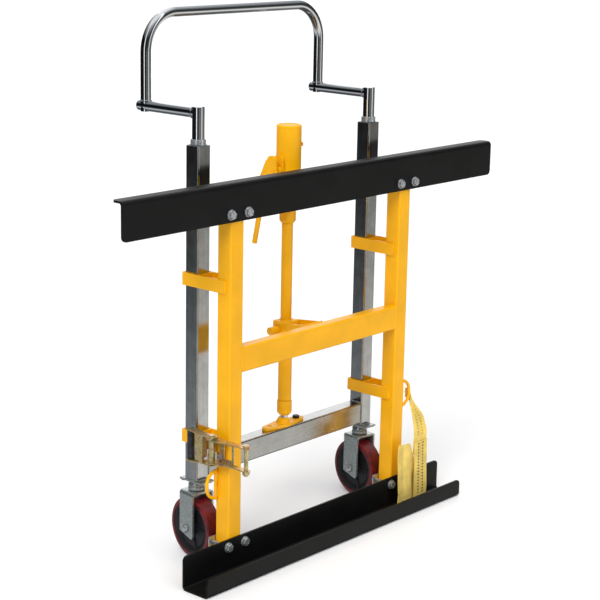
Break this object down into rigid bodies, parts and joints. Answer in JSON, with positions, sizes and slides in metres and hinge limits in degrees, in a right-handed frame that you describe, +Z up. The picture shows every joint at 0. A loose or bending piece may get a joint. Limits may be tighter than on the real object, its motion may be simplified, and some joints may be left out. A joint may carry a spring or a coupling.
{
  "type": "hydraulic panel mover",
  "caption": "Wheeled carrier with a hand-pumped jack that raises a yellow lift frame with black toe channel and top beam; ratchet strap and bent push handle.",
  "frame": {"origin": "on the floor, at the middle of the toe channel's underside", "axes": "+X to the right along the toe channel, +Y to the back towards the push handle, +Z up"},
  "size_m": [1.3, 0.395, 1.2752],
  "materials": {
    "yellow_enamel": "gloss yellow enamel",
    "black_powder_coat": "semi-gloss black powder coat",
    "zinc_plated_steel": "bright zinc plate over drawn tube",
    "chrome_plate": "polished chrome",
    "bolt_steel": "zinc-plated fasteners",
    "gold_zinc": "yellow-passivated zinc plate",
    "polyurethane_tread": "dark red polyurethane, satin",
    "black_iron": "black painted iron",
    "grip_rubber": "ribbed black rubber",
    "polyester_webbing": "woven pale yellow polyester"
  },
  "bodies": {
    "carrier": {"post_left": "zinc_plated_steel", "post_right": "zinc_plated_steel", "base_bar": "zinc_plated_steel", "caster_mount_left": "zinc_plated_steel", "caster_mount_right": "zinc_plated_steel", "collar_left": "chrome_plate", "collar_right": "chrome_plate", "jack_foot": "yellow_enamel", "foot_bolt": "black_iron", "jack_ram": "chrome_plate"},
    "lift_frame": {"upright_left": "yellow_enamel", "upright_right": "yellow_enamel", "crossbar": "yellow_enamel", "guide_upper_left": "yellow_enamel", "guide_upper_right": "yellow_enamel", "guide_lower_left": "yellow_enamel", "guide_lower_right": "yellow_enamel", "top_beam": "black_powder_coat", "toe_channel": "black_powder_coat", "clamp_plate_upper_left": "bolt_steel", "clamp_plate_upper_right": "bolt_steel", "clamp_plate_lower_left": "bolt_steel", "clamp_plate_lower_right": "bolt_steel", "clamp_bolt_upper_left_outer": "bolt_steel", "clamp_bolt_upper_left_inner": "bolt_steel", "clamp_bolt_upper_right_outer": "bolt_steel", "clamp_bolt_upper_right_inner": "bolt_steel", "clamp_bolt_lower_left_outer": "bolt_steel", "clamp_bolt_lower_left_inner": "bolt_steel", "clamp_bolt_lower_right_outer": "bolt_steel", "clamp_bolt_lower_right_inner": "bolt_steel", "jack_bracket": "yellow_enamel", "jack_cylinder": "yellow_enamel", "gland_nut": "yellow_enamel", "oil_reservoir": "yellow_enamel", "filler_plug": "yellow_enamel", "valve_block": "yellow_enamel", "loop_left": "yellow_enamel", "loop_right": "yellow_enamel", "ratchet_frame": "gold_zinc", "ratchet_end_bar": "gold_zinc", "ratchet_mount_bolt": "bolt_steel", "strap_hang": "polyester_webbing", "strap_bundle": "polyester_webbing"},
    "pump_lever": {"pump_lever": "yellow_enamel"},
    "pump_plunger": {"pump_plunger": "chrome_plate"},
    "release_valve": {"release_knob": "yellow_enamel"},
    "push_handle": {"push_handle": "chrome_plate"},
    "caster_left": {"fork_left": "zinc_plated_steel", "axle_left": "bolt_steel"},
    "caster_right": {"fork_right": "zinc_plated_steel", "axle_right": "bolt_steel"},
    "wheel_left": {"wheel_core_left": "black_iron", "tread_left": "polyurethane_tread"},
    "wheel_right": {"wheel_core_right": "black_iron", "tread_right": "polyurethane_tread"},
    "ratchet_handle": {"ratchet_handle": "gold_zinc", "ratchet_grip": "grip_rubber"},
    "ratchet_mandrel": {"ratchet_mandrel": "gold_zinc"},
    "ratchet_pawl": {"ratchet_pawl": "gold_zinc"}
  },
  "joints": [
    {"name": "lift_slide", "type": "slide", "parent": "carrier", "child": "lift_frame", "axis": [0, 0, 1], "range_m": [0, 0.25]},
    {"name": "handle_lift_out", "type": "slide", "parent": "carrier", "child": "push_handle", "axis": [0, 0, 1], "range_m": [0, 0.12]},
    {"name": "caster_swivel_left", "type": "hinge", "parent": "carrier", "child": "caster_left", "pos_m": [-0.3, 0.165, 0.17], "axis": [0, 0, 1], "continuous": true},
    {"name": "wheel_spin_left", "type": "hinge", "parent": "caster_left", "child": "wheel_left", "pos_m": [-0.3, 0.165, 0.074], "axis": [0.9903, -0.1392, 0], "continuous": true},
    {"name": "caster_swivel_right", "type": "hinge", "parent": "carrier", "child": "caster_right", "pos_m": [0.3, 0.165, 0.17], "axis": [0, 0, 1], "continuous": true},
    {"name": "wheel_spin_right", "type": "hinge", "parent": "caster_right", "child": "wheel_right", "pos_m": [0.3, 0.165, 0.074], "axis": [0.9903, -0.1392, 0], "continuous": true},
    {"name": "pump_lever_swing", "type": "hinge", "parent": "lift_frame", "child": "pump_lever", "pos_m": [-0.0455, 0.154, 0.897], "axis": [1, 0, 0], "range_deg": [0, 60]},
    {"name": "pump_plunger_slide", "type": "slide", "parent": "lift_frame", "child": "pump_plunger", "axis": [0, 0, 1], "range_m": [0, 0.02]},
    {"name": "release_valve_turn", "type": "hinge", "parent": "lift_frame", "child": "release_valve", "pos_m": [0.035, 0.161, 0.806], "axis": [1, 0, 0], "range_deg": [0, 180]},
    {"name": "ratchet_handle_swing", "type": "hinge", "parent": "lift_frame", "child": "ratchet_handle", "pos_m": [-0.3427, 0.074, 0.293], "axis": [0, 0, 1], "range_deg": [0, 105]},
    {"name": "ratchet_mandrel_spin", "type": "hinge", "parent": "lift_frame", "child": "ratchet_mandrel", "pos_m": [-0.3427, 0.074, 0.293], "axis": [0, 0, 1], "continuous": true},
    {"name": "ratchet_pawl_slide", "type": "slide", "parent": "ratchet_handle", "child": "ratchet_pawl", "axis": [0, 1, 0], "range_m": [0, 0.006], "stiffness_N_per_m": 250}
  ],
  "couplings": [
    {"joint": "pump_plunger_slide", "follows": "pump_lever_swing", "m_per_rad": 0.018}
  ]
}
